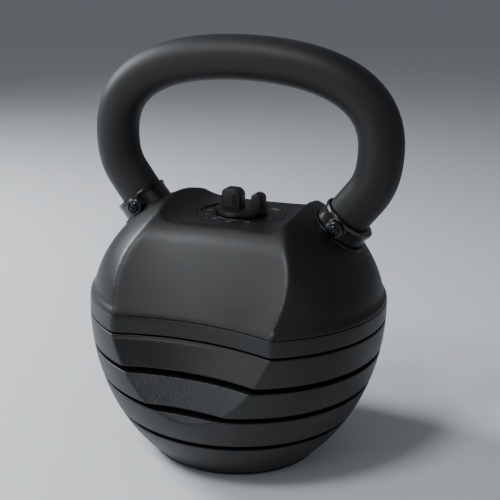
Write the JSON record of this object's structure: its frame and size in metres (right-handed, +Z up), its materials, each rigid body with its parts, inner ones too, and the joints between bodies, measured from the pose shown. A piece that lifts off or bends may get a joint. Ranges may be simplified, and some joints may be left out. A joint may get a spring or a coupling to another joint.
{
  "type": "adjustable kettlebell",
  "caption": "Ball-shaped adjustable kettlebell: loop handle, hollow-faced casing with a finned dial, and stacked weight plates picked up by a turning spindle.",
  "frame": {"origin": "middle of the foot, on the floor", "axes": "X along the handle, front face towards -Y, +Z up"},
  "size_m": [0.2428, 0.2084, 0.3203],
  "materials": {
    "casing_plastic": "fine moulded grain",
    "grip_rubber": "smooth matte",
    "gloss_plastic": "gloss",
    "cast_iron": "as cast",
    "steel": "zinc plated",
    "black_steel": "black oxide",
    "foot_rubber": "matte",
    "bush_plastic": "natural"
  },
  "bodies": {
    "base": {"plate_4_shell": "casing_plastic", "plate_4_weight": "cast_iron", "plate_4_lock_ring": "steel", "plate_4_screw_1": "steel", "plate_4_screw_2": "steel", "foot_pad": "foot_rubber", "foot_screw_1": "steel", "foot_screw_2": "steel", "foot_screw_3": "steel", "foot_screw_4": "steel"},
    "plate_3": {"plate_3_shell": "casing_plastic", "plate_3_weight": "cast_iron", "plate_3_lock_ring": "steel", "plate_3_screw_1": "steel", "plate_3_screw_2": "steel"},
    "plate_2": {"plate_2_shell": "casing_plastic", "plate_2_weight": "cast_iron", "plate_2_lock_ring": "steel", "plate_2_screw_1": "steel", "plate_2_screw_2": "steel"},
    "plate_1": {"plate_1_shell": "casing_plastic", "plate_1_weight": "cast_iron", "plate_1_lock_ring": "steel", "plate_1_screw_1": "steel", "plate_1_screw_2": "steel"},
    "handle_core": {"handle_tube": "black_steel", "handle_grip": "grip_rubber", "collar_left": "gloss_plastic", "collar_right": "gloss_plastic", "collar_screw_left_front": "black_steel", "collar_screw_left_back": "black_steel", "collar_screw_right_front": "black_steel", "collar_screw_right_back": "black_steel", "casing_upper": "casing_plastic", "casing_lower": "casing_plastic", "casing_screw_1": "steel", "casing_screw_2": "steel", "casing_screw_3": "steel", "casing_screw_4": "steel", "core_weight": "cast_iron", "bush_upper": "bush_plastic", "bush_lower": "bush_plastic", "dial_plate": "gloss_plastic", "detent_spring": "steel"},
    "selector": {"dial_knob": "gloss_plastic", "knob_pin": "steel", "spindle": "steel", "spindle_clip": "steel", "detent_wheel": "steel", "lock_bar_1": "steel", "lock_bar_2": "steel", "lock_bar_3": "steel", "lock_bar_4": "steel"}
  },
  "joints": [
    {"name": "plate_3_lift", "type": "slide", "parent": "base", "child": "plate_3", "axis": [0, 0, 1], "range_m": [0, 0.03]},
    {"name": "plate_2_lift", "type": "slide", "parent": "plate_3", "child": "plate_2", "axis": [0, 0, 1], "range_m": [0, 0.055]},
    {"name": "plate_1_lift", "type": "slide", "parent": "plate_2", "child": "plate_1", "axis": [0, 0, 1], "range_m": [0, 0.08]},
    {"name": "core_lift", "type": "slide", "parent": "plate_1", "child": "handle_core", "axis": [0, 0, 1], "range_m": [0, 0.105]},
    {"name": "dial_turn", "type": "hinge", "parent": "handle_core", "child": "selector", "pos_m": [0, 0, 0.188], "axis": [0, 0, 1], "range_deg": [0, 120], "deforming": ["detent_spring"]}
  ]
}
